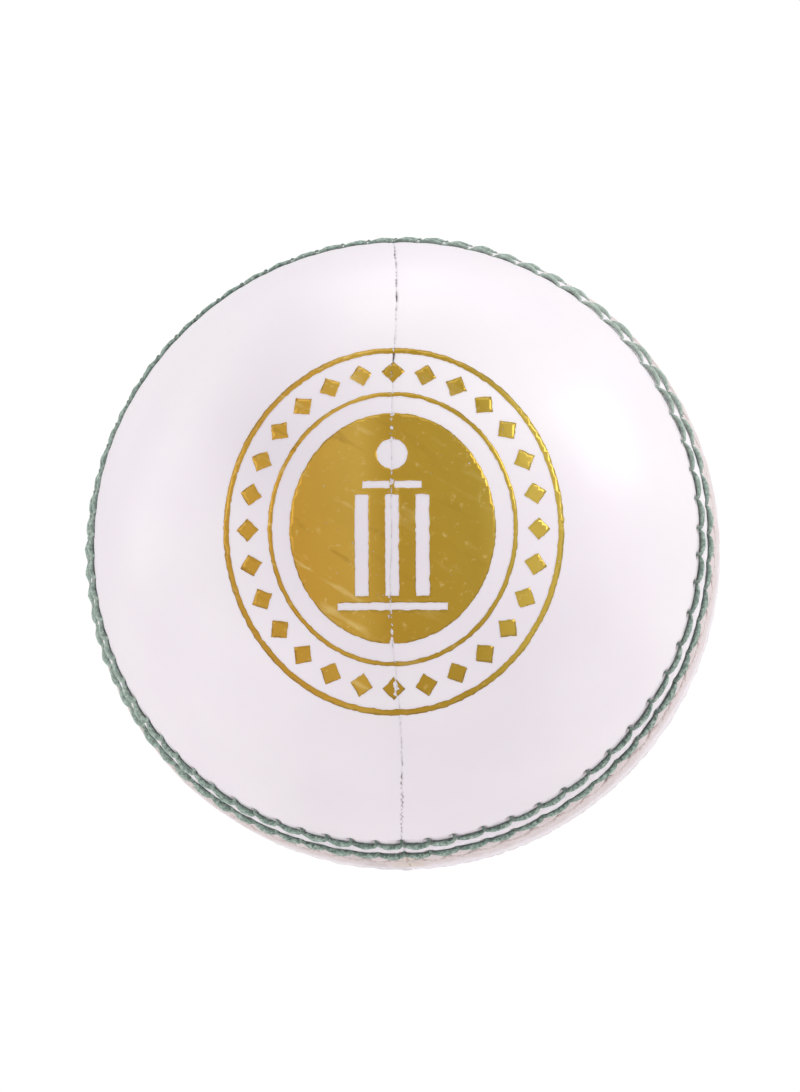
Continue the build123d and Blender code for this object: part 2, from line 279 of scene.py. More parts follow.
def joint_end(front, top):
    """Angle round the seam, and angle t, where the joint reaches the stitched band."""
    t = np.linspace(0, math.pi / 2, 4000) * (1 if top else -1)
    x, y = joint_plan(t, front)
    i = int(np.argmin(np.abs(np.hypot(x, y) - POLAR_EDGE)))
    return math.atan2(y[i], x[i]), float(t[i])


def crackiness(t, front):
    """0 where lacquer bridges the joint, 1 where it has cracked open."""
    t = np.degrees(t)
    if front:
        crack = sum(strength * bell(t - centre, width) for centre, width, strength in CRACKS) + 0.18
    else:
        crack = 0.40 + 0.35 * np.sin(t / 9.0)
    crack = crack * (0.66 + 0.45 * waves_1d(t, 5, 4.0) + 0.50 * waves_1d(t, 6, 1.5)) - 0.08
    return np.clip(crack, 0.0, 1.0)


def joint_groove(distance, crack):
    """Depth of the groove: a sharp line, deeper where cracked, in a shallow dip."""
    return (0.13 * crack + 0.03) * bell(distance, 0.16) + 0.035 * bell(distance, 0.9)


# ---------------------------------------------------------------- meshes
def make_mesh(name, verts, smooth_faces, flat_faces, attributes):
    """Mesh object from ball-frame vertices in mm and lists of (n, k) polygon arrays."""
    mesh = bpy.data.meshes.new(name)
    verts = np.asarray(verts, dtype=np.float64) / MM_PER_M
    mesh.vertices.add(len(verts))
    mesh.vertices.foreach_set("co", verts.ravel())
    faces = [np.asarray(f, dtype=np.int32) for f in smooth_faces + flat_faces if len(f)]
    corners = np.concatenate([f.ravel() for f in faces])
    totals = np.concatenate([np.full(len(f), f.shape[1], dtype=np.int32) for f in faces])
    starts = np.concatenate([[0], np.cumsum(totals)[:-1]]).astype(np.int32)
    smooth = np.arange(len(totals)) < sum(len(f) for f in smooth_faces)
    mesh.loops.add(len(corners))
    mesh.loops.foreach_set("vertex_index", corners)
    mesh.polygons.add(len(totals))
    mesh.polygons.foreach_set("loop_start", starts)
    mesh.polygons.foreach_set("loop_total", totals)
    mesh.polygons.foreach_set("use_smooth", smooth)
    mesh.update(calc_edges=True)
    mesh.validate()
    for key, values in attributes.items():
        layer = mesh.attributes.new(key, "FLOAT", "POINT")
        layer.data.foreach_set("value", np.asarray(values, dtype=np.float32).ravel())
    ob = bpy.data.objects.new(name, mesh)
    bpy.context.scene.collection.objects.link(ob)
    return ob


def grid_quads(ids):
    corners = [ids[:-1, :-1], ids[:-1, 1:], ids[1:, 1:], ids[1:, :-1]]
    return np.stack(corners, -1).reshape(-1, 4)


def split_doubled(quads):
    """Sound quads, and triangles made from quads with a doubled corner."""
    same = [quads[:, i] == quads[:, (i + 1) % 4] for i in range(4)]
    count = sum(s.astype(int) for s in same)
    tris = [np.delete(quads[(count == 1) & same[i]], (i + 1) % 4, axis=1) for i in range(4)]
    return [quads[count == 0], np.concatenate(tris)]


def drop_loose_vertices(mesh):
    bm = bmesh.new()
    bm.from_mesh(mesh)
    loose = [v for v in bm.verts if not v.link_faces]
    bmesh.ops.delete(bm, geom=loose, context="VERTS")
    bm.to_mesh(mesh)
    bm.free()


# ---------------------------------------------------------------- leather quarters
# grid rows, close together where the surface has detail
BAND_ROWS = np.concatenate([[SEAM_GAP, 0.07, 0.12, 0.2, 0.3], np.arange(0.42, 9.9, 0.118),
                            [9.95, 10.05, 10.2, EDGE_H]])
NEAR_JOINT = [0, 0.03, 0.07, 0.12, 0.19, 0.29, 0.43, 0.62, 0.88, 1.25, 1.75, 2.4, 3.1]
NEAR_BAND = np.array([2.2, 1.7, 1.25, 0.9, 0.62, 0.4, 0.22, 0.1])
INNER_LATITUDES = [math.asin(SEAM_GAP / R_IN), *np.radians([2, 6, 11])]
INNER_FRACTIONS = (1.0, 0.85, 0.7, 0.55, 0.4, 0.25, 0.1, 0.0)     # from the joint to the band


def quarter_columns(front, right):
    """Angles round the seam and along the joint of the grid columns, and the joint ends."""
    top, bottom = joint_end(front, True), joint_end(front, False)
    (start, t_start), (end, t_end) = (bottom, top) if right else (top, bottom)
    if not right:
        end += 2 * math.pi
    phi = np.linspace(start, end, N_COLUMNS + 1)
    t = t_start + (t_end - t_start) * np.linspace(0, 1, N_COLUMNS + 1)
    return phi, t, top, bottom


def outer_skin(phi, t, top, bottom, plan, front):
    """Outer grid of a quarter, seam row first and joint row last, and its masks."""
    joint_x, joint_y, edge_x, edge_y = plan
    length = np.hypot(edge_x - joint_x, edge_y - joint_y) * math.pi / 180 * R
    longest = length.max()
    middle = np.arange(3.9, longest - 2.6, 0.72)
    from_joint = np.concatenate([NEAR_JOINT, middle, longest - NEAR_BAND]) / longest
    from_joint = from_joint[::-1, None]
    # the band is laid out by height, the dome in the flattened cup
    band_phi, band_h = np.meshgrid(phi, BAND_ROWS)
    x = joint_x + (edge_x - joint_x) * from_joint
    y = joint_y + (edge_y - joint_y) * from_joint
    all_phi = np.vstack([band_phi, np.arctan2(y, x)])
    h = np.vstack([band_h, R * np.cos(np.radians(np.hypot(x, y)))])
    ends = [np.abs(wrap(band_phi - phi[i])) for i in (0, -1)]
    distance = np.vstack([np.minimum(*ends) * SEAM_ARC_R, length * from_joint])
    at_top = np.abs(wrap(band_phi - top[0])) < np.abs(wrap(band_phi - bottom[0]))
    all_t = np.vstack([np.where(at_top, top[1], bottom[1]), np.broadcast_to(t, x.shape)])

    points = around_axis(np.sqrt(np.maximum(R * R - h ** 2, 0)), all_phi, h)
    up, hole, lump = leather_up(all_phi, h, points, front)
    crack = crackiness(all_t, front)
    up = up - joint_groove(distance, crack)
    # the rise is away from the axis in the band, and from the centre on the dome
    dome = np.clip((np.abs(h) - BLEND_H) / (EDGE_H - BLEND_H), 0, 1)[..., None]
    radial = around_axis(1.0, all_phi, 0.0)
    points = points + normalised(radial * (1 - dome) + normalised(points) * dome) * up[..., None]
    # colour masks: painted shade in the holes, the lumpy strip with dirt and painted shade, the dark
    # crack line, brightness with broad painted light and shade, and a stain
    masks = {"hole": hole, "lump": lump, "crack": crack * bell(distance, 0.10),
             "tone": leather_tone_and_painted_light(points, front),
             "stain": bell(distance, 1.5) * bell(h - 3.0, 2.6) * (0.75 if front else 0.3)}
    return points, masks


def inner_skin(phi, plan):
    """Plain inner face: the same columns, a few rows."""
    joint_x, joint_y, edge_x, edge_y = plan
    rows = [around_axis(R_IN * math.cos(lat), phi, R_IN * math.sin(lat))
            for lat in INNER_LATITUDES]
    for fraction in INNER_FRACTIONS:
        x = joint_x + (edge_x - joint_x) * fraction
        y = joint_y + (edge_y - joint_y) * fraction
        polar = np.radians(np.hypot(x, y))
        rows.append(around_axis(R_IN * np.sin(polar), np.arctan2(y, x), R_IN * np.cos(polar)))
    return np.stack(rows)


def quarter_object(name, front, right):
    phi, t, top, bottom = quarter_columns(front, right)
    joint_x, joint_y = joint_plan(t, front)
    gap = 0.0015 + 0.026 * crackiness(t, front)
    joint_x = joint_x + (1.0 if right else -1.0) * np.degrees(gap / R)
    plan = (joint_x, joint_y, POLAR_EDGE * np.cos(phi), POLAR_EDGE * np.sin(phi))
    outer, masks = outer_skin(phi, t, top, bottom, plan, front)
    inner = inner_skin(phi, plan)

    # above the band the end columns shrink to a point at each end of the joint
    outer_ids = np.arange(outer[..., 0].size).reshape(outer.shape[:2])
    inner_ids = np.arange(inner[..., 0].size).reshape(inner.shape[:2]) + outer_ids.size
    last_outer, last_inner = len(BAND_ROWS) - 1, len(INNER_LATITUDES)
    for ids, last in ((outer_ids, last_outer), (inner_ids, last_inner)):
        for column in (0, -1):
            ids[last + 1:, column] = ids[last, column]

    smooth = split_doubled(grid_quads(outer_ids)) + split_doubled(grid_quads(inner_ids)[:, ::-1])
    # walls at the seam plane, along the joint, and down the two ends of the band
    seam_wall = grid_quads(np.stack([inner_ids[0], outer_ids[0]]))
    joint_wall = grid_quads(np.stack([outer_ids[-1], inner_ids[-1]]))
    end_walls = [np.concatenate([outer_ids[:last_outer + 1, column],
                                 inner_ids[:last_inner + 1, column][::-1]])[None]
                 for column in (0, -1)]
    flat = split_doubled(np.concatenate([seam_wall, joint_wall]))
    flat += [end_walls[0], end_walls[1][:, ::-1]]
    verts = np.concatenate([outer.reshape(-1, 3), inner.reshape(-1, 3)])
    blank = np.zeros(inner_ids.size)
    ob = make_mesh(name, cup_to_ball(verts, front), smooth, flat,
                   {key: np.concatenate([mask.ravel(), blank]) for key, mask in masks.items()})
    drop_loose_vertices(ob.data)
    return ob


# ---------------------------------------------------------------- threads
# one value for each row; side is 1 on the front cup and -1 on the back
ROW_SIZE = {1: (1.0, 1.06, 0.86), -1: (1.0, 0.93, 0.86)}
ROW_LIFT = {1: (0.22, 0.21, -0.08), -1: (0.22, 0.15, -0.08)}
ROW_THINNING = (0.30, 0.46, 0.28)    # how much narrower stitches get at the upper right
ROW_SLACK = (1.0, 1.0, 0.3)          # how much looseness lifts the stitch
UNDER_R = (33.5, 34.45, 35.1)        # radius of the runs inside the leather


def looseness(phi):
    """How loosely the stitches were drawn, from 0 to 1, round the seam."""
    return np.clip(bell_round(phi, 48, 40) + 0.55 * bell_round(phi, -165, 38), 0, 1)


def strand(phi0, phi1, row, side, rng):
    """Rings of one stitch: it rises from its hole with a hook, lies along the
    row with a straight outer edge, and tucks under the start of the next."""
    s = 0.5 - 0.5 * np.cos(math.pi * np.linspace(0, 1, 40))      # 0 at the hole, 1 at the tail
    mid = 0.5 * (phi0 + phi1)
    heavy = 0.97 + 0.23 * bell_round(mid, -138, 36)
    size = ROW_SIZE[side][row] * rng.uniform(0.92, 1.07) * heavy
    phi = phi0 + (phi1 - phi0) * (0.005 + 1.09 * s)
    loose = looseness(mid)
    thin = bell_round(mid, 48, 40)
    hook = 0.82 * bell(s, 0.075) + 0.20 * bell(s, 0.22)
    tail = np.clip((s - 0.80) / 0.20, 0, 1)
    tail = tail * tail * (3 - 2 * tail)
    fat = np.sin(math.pi * np.clip((s + 0.015) / 1.08, 0, 1)) ** 0.95
    bow = np.sin(math.pi * np.clip(s / 0.96, 0, 1))
    half_across = (0.10 + 0.49 * fat) * size * (1 - ROW_THINNING[row] * thin)
    half_up = (0.12 + 0.20 * fat) * size * (1 - 0.14 * thin)
    h = ROWS[row] + 0.44 - half_across * 0.95 + HOLE_OUT[row] * hook
    h = h + (0.05 * rng.normal() + 0.10 - 0.26 * loose) * bow
    # above the leather, but sunk at the hole and the tail
    lift = ROW_LIFT[side][row] * size - 0.70 * bell(s, 0.026) - 0.28 * tail
    lift = lift + ((0.05 + 0.30 * loose) * bow - 0.15 * loose) * ROW_SLACK[row]
    if side < 0:                                       # drawn tighter at the lower right
        lift = lift - 0.16 * bell(math.degrees(wrap(mid)) + 58, 42)
    radius = np.sqrt(R * R - h ** 2) + band_rise(np.abs(h)) + lift
    centre = around_axis(radius, phi, h * side)
    along = normalised(np.gradient(centre, axis=0))
    across = normalised(np.cross(along, around_axis(1.0, phi, 0.0)))
    up = np.cross(across, along)

    # three plies twisted along the strand
    run = np.concatenate([[0], np.cumsum(np.linalg.norm(np.diff(centre, axis=0), axis=1))])
    around = np.linspace(0, 2 * math.pi, N_SECTION, endpoint=False)[None]
    twist = rng.uniform(0, 6.28) + run[:, None] * 1.5 * side
    ply = 1 + 0.075 * np.cos(3 * (around - twist)) + 0.025 * np.cos(7 * around + 3 * twist)
    x = np.cos(around) * half_across[:, None] * ply
    y = np.sin(around) * half_up[:, None] * ply
    rings = centre[:, None] + across[:, None] * x[..., None] + up[:, None] * y[..., None]
    # painted shade: root darkens the hook at the hole and the tail that tucks under, low darkens the
    # underside of the thread
    root = np.maximum(1 - s / 0.15, 0) ** 0.5 + np.maximum((s - 0.88) / 0.12, 0) * 0.8
    low = 0.5 - 0.5 * np.sin(around) + 0.10 * np.cos(3 * (around - twist))
    return rings, np.clip(root, 0, 1), np.clip(low, 0, 1)


def under_pass(phi, row):
    """Rings of the round run inside the leather, across the seam, at one hole."""
    reach = ROWS[row] + 0.3
    around = np.linspace(0, 2 * math.pi, N_SECTION, endpoint=False)[:, None]
    outward = around_axis(1.0, phi, 0.0)
    sideways = around_axis(1.0, phi + math.pi / 2, 0.0)
    section = 0.3 * (np.cos(around) * outward + np.sin(around) * sideways)
    rings = np.stack([outward * UNDER_R[row] + np.array([0, 0, h]) + section
                      for h in np.linspace(-reach, reach, 6)])
    # the run inside the leather is painted fully in shade
    return rings, np.ones(len(rings)), np.ones(rings.shape[:2])


def face_outward(rings, low):
    """Turn the order round the rings, if need be, so the faces point outward."""
    middle = rings.mean(1)
    normal = np.cross(rings[1, 0] - middle[1], rings[1, 1] - middle[1])
    if np.dot(normal, middle[2] - middle[1]) < 0:
        return rings[:, ::-1], low[:, ::-1]
    return rings, low


def thread_object(name, row, which):
    """One of the two threads of a row; they take turns at each hole and side."""
    rng = np.random.RandomState(100 + 10 * row + which)
    holes = STATIONS[row]
    parts = []
    for k in range(N_STITCH):
        side = 1 if k % 2 == which else -1
        parts.append(strand(holes[k], holes[k + 1], row, side, rng))
        parts.append(under_pass(holes[k] + (0.010 if which == 0 else -0.010), row))

    verts, quads, caps, hole_and_tail_shades, underside_shades = [], [], [], [], []
    base = 0
    for rings, root, low in parts:
        rings, low = face_outward(rings, low)
        ids = np.arange(low.size).reshape(low.shape) + base
        following = np.roll(ids, -1, axis=1)
        tube = [ids[:-1], following[:-1], following[1:], ids[1:]]
        quads.append(np.stack(tube, -1).reshape(-1, 4))
        caps += [ids[0][None, ::-1], ids[-1][None]]
        verts.append(rings.reshape(-1, 3))
        hole_and_tail_shades.append(np.repeat(root, N_SECTION))
        underside_shades.append(low.ravel())
        base += low.size
    verts = cup_to_ball(np.concatenate(verts), True)
    angle = np.arctan2(verts[:, 2], verts[:, 0])
    lit = 1 - 0.68 * bell_round(angle, 208, 54)         # less painted shade on the left, so no dark edge there
    return make_mesh(name, verts, quads, caps,
                     {"root": np.concatenate(hole_and_tail_shades) * lit, "low": np.concatenate(underside_shades) * lit,
                      "pale": 0.10 + 0.90 * looseness(angle)})


# ---------------------------------------------------------------- badge
# ball-frame direction of the badge centre, and its sideways and upward axes
BADGE_DIR = normalised(np.array([0.0715, -0.9930, -0.0795]))
BADGE_X = normalised(np.cross([0, 0, 1.0], BADGE_DIR))
BADGE_Y = np.cross(BADGE_DIR, BADGE_X)
FOIL_TOP, FOIL_SUNK = 0.042, 0.05    # faces of the foil above and below the leather
FOIL_STEP = 0.42                     # spacing of the points inside an outline
FOIL_CLEAR = 0.17                    # points nearer an outline than this are dropped


def ellipse(half_width, half_height, count):
    t = np.linspace(0, 2 * math.pi, count, endpoint=False)
    return np.stack([half_width * np.cos(t), half_height * np.sin(t)], -1)


def rectangle(x, y, width, height, turn=0.0):
    half = np.array([width / 2, height / 2])
    corners = np.array([[-1, -1], [1, -1], [1, 1], [-1, 1]]) * half
    points = []
    for i in range(4):
        start, end = corners[i], corners[(i + 1) % 4]
        pieces = max(1, int(np.linalg.norm(end - start) / 0.35))
        points += [start + (end - start) * j / pieces for j in range(pieces)]
    c, s = math.cos(math.radians(turn)), math.sin(math.radians(turn))
    return np.array(points) @ np.array([[c, s], [-s, c]]) + [x, y]


def badge_shapes():
    """Closed outlines [outer, holes...] in the badge plane, mm."""
    shapes = [[ellipse(18.6, 20.2, 340), ellipse(18.0, 19.6, 330)],
              [ellipse(13.6, 15.0, 260), ellipse(13.15, 14.55, 250)]]
    # a ring of lozenges between the two elliptical lines
    for i in range(28):
        t = 2 * math.pi * i / 28
        shapes.append([rectangle(15.9 * math.cos(t), 17.4 * math.sin(t), 1.75, 1.75,
                                 turn=math.degrees(t) + 45)])
    # a solid oval with three uprights, two bars above, a dot and a bar below cut out
    shapes.append([ellipse(11.2, 12.6, 220),
                   *[rectangle(x, -2.0, 1.5, 11.0) for x in (-3.3, 0.0, 3.3)],
                   *[rectangle(x, 4.6, 3.0, 0.8) for x in (-1.75, 1.75)],
                   ellipse(1.7, 1.7, 34) + [0.0, 8.0],
                   rectangle(0.0, -8.6, 12.0, 0.8)])
    return shapes


def ragged(outline, index):
    p = np.concatenate([outline, np.full((len(outline), 1), index * 3.0)], 1)
    coarse = np.stack([waves(p, 201, 1.1), waves(p, 202, 1.1)], -1) * 0.035
    fine = np.stack([waves(p, 203, 0.45), waves(p, 204, 0.45)], -1) * 0.03
    return outline + (coarse + fine)


def inside_polygon(points, polygon):
    inside = np.zeros(len(points), bool)
    for (x1, y1), (x2, y2) in zip(polygon, np.roll(polygon, -1, axis=0)):
        spans = (y1 > points[:, 1]) != (y2 > points[:, 1])
        with np.errstate(divide="ignore", invalid="ignore"):
            x_hit = (x2 - x1) * (points[:, 1] - y1) / (y2 - y1) + x1
        inside ^= spans & (points[:, 0] < x_hit)
    return inside


def inside_shape(points, outlines):
    inside = inside_polygon(points, outlines[0])
    for hole in outlines[1:]:
        inside &= ~inside_polygon(points, hole)
    return inside


def clear_of(points, outline):
    keep = np.ones(len(points), bool)
    for i in range(0, len(points), 2000):              # in blocks, to save memory
        block = points[i:i + 2000, None] - outline[None]
        keep[i:i + 2000] = np.linalg.norm(block, axis=-1).min(1) > FOIL_CLEAR
    return keep


def foil_patch(shape):
    """Triangulated shape in the badge plane: points, triangles and boundary edges."""
    outlines = [ragged(outline, i) for i, outline in enumerate(shape)]
    border = np.concatenate(outlines)
    low, high = border.min(0), border.max(0)
    grid_x, grid_y = np.meshgrid(np.arange(low[0] + 0.2, high[0], FOIL_STEP),
                                 np.arange(low[1] + 0.2, high[1], FOIL_STEP))
    grid = np.stack([grid_x.ravel(), grid_y.ravel()], -1)
    grid = grid[inside_shape(grid, outlines)]
    edges, base = [], 0
    for outline in outlines:
        grid = grid[clear_of(grid, outline)]
        n = len(outline)
        edges += [(base + i, base + (i + 1) % n) for i in range(n)]
        base += n
    points, _, tris, *_ = delaunay_2d_cdt(
        [Vector(p) for p in np.concatenate([border, grid])], edges, [], 0, 1e-6)
    points = np.array([[p.x, p.y] for p in points])
    tris = np.array([t for t in tris if len(t) == 3])
    tris = tris[inside_shape(points[tris].mean(1), outlines)]
    used = np.unique(tris)
    renumber = -np.ones(len(points), int)
    renumber[used] = np.arange(len(used))
    points, tris = points[used], renumber[tris]
    corner = points[tris]
    area = np.cross(corner[:, 1] - corner[:, 0], corner[:, 2] - corner[:, 0])
    tris[area < 0] = tris[area < 0][:, ::-1]
    directed = {tuple(e) for e in np.concatenate([tris[:, [0, 1]], tris[:, [1, 2]], tris[:, [2, 0]]])}
    boundary = np.array([e for e in directed if (e[1], e[0]) not in directed])
    return points, tris, boundary


def under_badge(uv):
    """Ball-frame directions through badge-plane points, the rise of the leather there,
    and the distance from the joint."""
    depth = np.sqrt(np.maximum(R * R - (uv ** 2).sum(-1), 0))
    direction = (BADGE_X * uv[:, :1] + BADGE_Y * uv[:, 1:2] + BADGE_DIR * depth[:, None]) / R
    x, y, z = direction[:, 0], direction[:, 2], -direction[:, 1]      # in the cup frame
    points = np.stack([x, y, z], -1) * R
    up, _, _ = leather_up(np.arctan2(y, x), points[:, 2], points, True)
    t = np.arctan2(y, z)
    distance = np.abs(x * R - joint_offset(t, True))
    return direction, up - joint_groove(distance, crackiness(t, True)), distance


def badge_object():
    verts, faces, walls, worn = [], [], [], []
    base = 0
    for shape in badge_shapes():
        uv, tris, boundary = foil_patch(shape)
        n = len(uv)
        direction, up, distance = under_badge(uv)
        crease = 0.010 * waves(np.concatenate([uv, uv[:, :1] * 0], 1), 300, 3.0)
        verts += [direction * (R + up + FOIL_TOP + crease)[:, None],
                  direction * (R + up - FOIL_SUNK)[:, None]]
        worn += [bell(distance, 0.22)] * 2
        faces += [tris + base, tris[:, ::-1] + base + n]
        a, b = boundary.T
        walls.append(np.stack([b, a, a + n, b + n], -1) + base)
        base += 2 * n
    return make_mesh("gold_foil_badge", np.concatenate(verts), faces, walls,
                     {"worn": np.concatenate(worn)})


# ---------------------------------------------------------------- shader helpers
def srgb(*rgb):
    """Linear colour from 0-255 sRGB values."""
    def linear(c):
        c /= 255.0
        return c / 12.92 if c <= 0.04045 else ((c + 0.055) / 1.055) ** 2.4
    return (*map(linear, rgb), 1.0)


def feed(tree, socket, value):
    """Link a socket value, or set a plain one."""
    if isinstance(value, bpy.types.NodeSocket):
        tree.links.new(value, socket)
    else:
        socket.default_value = value


def mix_shaders(tree, fac, first, second):
    node = tree.nodes.new("ShaderNodeMixShader")
    for socket, value in zip(node.inputs, (fac, first, second)):
        tree.links.new(value, socket)
    return node.outputs[0]


class Shader:
    """A material with one principled shader, and short calls for its texture nodes."""

    def __init__(self, name, object_coords=True):
        self.material = bpy.data.materials.new(name)
        self.material.use_nodes = True
        self.tree = self.material.node_tree
        self.tree.nodes.clear()
        self.out = self.node("OutputMaterial")
        self.bsdf = self.node("BsdfPrincipled")
        self.surface(self.bsdf.outputs[0])
        self.coord = self.node("TexCoord").outputs["Object"] if object_coords else None

    def node(self, kind):
        return self.tree.nodes.new("ShaderNode" + kind)

    def surface(self, shader):
        self.tree.links.new(shader, self.out.inputs[0])

    def set(self, **inputs):
        for key, value in inputs.items():
            feed(self.tree, self.bsdf.inputs[key.replace("_", " ")], value)

    def attribute(self, name):
        node = self.node("Attribute")
        node.attribute_name = name
        return node.outputs["Fac"]

    def noise(self, scale, detail=3.0, rough=0.55, coord=None):
        node = self.node("TexNoise")
        node.inputs["Scale"].default_value = scale
        node.inputs["Detail"].default_value = detail
        node.inputs["Roughness"].default_value = rough
        coord = coord or self.coord
        if coord:
            self.tree.links.new(coord, node.inputs["Vector"])
        return node.outputs[0]

    def ramp(self, fac, stops):
        node = self.node("ValToRGB")
        elements = node.color_ramp.elements
        while len(elements) < len(stops):
            elements.new(0.5)
        for element, (position, colour) in zip(elements, stops):
            element.position = position
            element.color = colour if len(colour) == 4 else (*colour, 1)
        self.tree.links.new(fac, node.inputs[0])
        return node.outputs[0]

    def mix(self, first, second, fac, kind="MIX"):
        node = self.node("Mix")
        node.data_type = "RGBA"
        node.blend_type = kind
        for i, value in ((0, fac), (6, first), (7, second)):
            feed(self.tree, node.inputs[i], value)
        return node.outputs[2]

    def math(self, operation, first, second, clamp=False):
        node = self.node("Math")
        node.operation = operation
        node.use_clamp = clamp
        feed(self.tree, node.inputs[0], first)
        feed(self.tree, node.inputs[1], second)
        return node.outputs[0]

    def tint(self, base, colour, mask, strength, clamp=False):
        """Mix a colour in by mask x strength."""
        return self.mix(base, colour, fac=self.math("MULTIPLY", mask, strength, clamp))

    def excess(self, value, limit, gain):
        """How far a value passes a limit, times a gain, from 0 to 1."""
        return self.math("MULTIPLY", self.math("SUBTRACT", value, limit, True), gain, True)

    def position(self, metres, per_metre):
        """Object position as 0 to 1, with 0.5 at the ball centre."""
        return self.math("ADD", self.math("MULTIPLY", metres, per_metre), 0.5, True)

    def bump(self, height, strength, distance):
        node = self.node("Bump")
        node.inputs["Strength"].default_value = strength
        node.inputs["Distance"].default_value = distance
        self.tree.links.new(height, node.inputs["Height"])
        self.set(Normal=node.outputs[0])


# ---------------------------------------------------------------- materials
def leather_material():
    sh = Shader("white_leather_lacquered")
    broad = sh.noise(scale=38.0, detail=2.0, rough=0.5)
    base = sh.ramp(broad, [(0.34, srgb(245, 238, 245)), (0.66, srgb(248, 243, 247))])
    fine = sh.noise(scale=420.0, detail=4.0, rough=0.6)
    base = sh.tint(base, srgb(232, 214, 222), fine, strength=0.10)
    # the lumpy strip by the seam is darkened, partly as dirt and partly as painted shade of its
    # lumps, with darker patches of both
    lump = sh.attribute("lump")
    lump_dirt_and_shade = sh.math("MULTIPLY", lump, sh.noise(scale=900.0, rough=0.6))
    base = sh.tint(base, srgb(222, 205, 203), lump, strength=0.40)
    base = sh.tint(base, srgb(206, 186, 182), lump_dirt_and_shade, strength=0.75, clamp=True)
    base = sh.mix(base, srgb(214, 196, 170), fac=sh.attribute("stain"))
    # painted shade in the stitch holes
    base = sh.tint(base, srgb(150, 128, 124), sh.attribute("hole"), strength=0.75, clamp=True)
    base = sh.tint(base, srgb(88, 74, 74), sh.attribute("crack"), strength=0.9, clamp=True)
    # the hide's brightness, with its broad painted light and shade, scales the colour
    tone = sh.node("VectorMath")
    tone.operation = "SCALE"
    feed(sh.tree, tone.inputs[0], base)
    feed(sh.tree, tone.inputs["Scale"], sh.math("ADD", sh.attribute("tone"), 1.0))
    sh.set(Base_Color=tone.outputs[0], Roughness=0.38, Coat_Weight=0.34, Coat_Roughness=0.24,
           Subsurface_Weight=0.12, Subsurface_Scale=0.0012, Specular_IOR_Level=0.42,
           Subsurface_Radius=(1.0, 0.75, 0.7))
    grain = sh.mix(sh.noise(scale=1500.0, rough=0.6),
                   sh.noise(scale=260.0, detail=4.0, rough=0.6), fac=0.35)
    sh.bump(grain, strength=0.10, distance=0.00012)
    return sh.material


def thread_material(name, dark, mid, light):
    sh = Shader(name)
    streak = sh.noise(scale=2600.0, detail=4.0, rough=0.7)
    broad = sh.noise(scale=300.0, detail=2.0, rough=0.5)
    base = sh.ramp(streak, [(0.36, dark), (0.5, mid), (0.64, light)])
    base = sh.tint(base, mid, broad, strength=0.25)
    # painted shade: darker on the underside of the thread and where it enters its hole and tucks
    # under the next stitch
    low = sh.math("POWER", sh.attribute("low"), 1.4)
    base = sh.tint(base, dark, low, strength=0.75, clamp=True)
    base = sh.tint(base, dark, sh.attribute("root"), strength=0.85, clamp=True)
    base = sh.tint(base, light, sh.attribute("pale"), strength=0.60)
    sh.set(Base_Color=base, Roughness=0.62, Specular_IOR_Level=0.35, Sheen_Weight=0.15)
    sh.bump(streak, strength=0.8, distance=0.0002)
    return sh.material


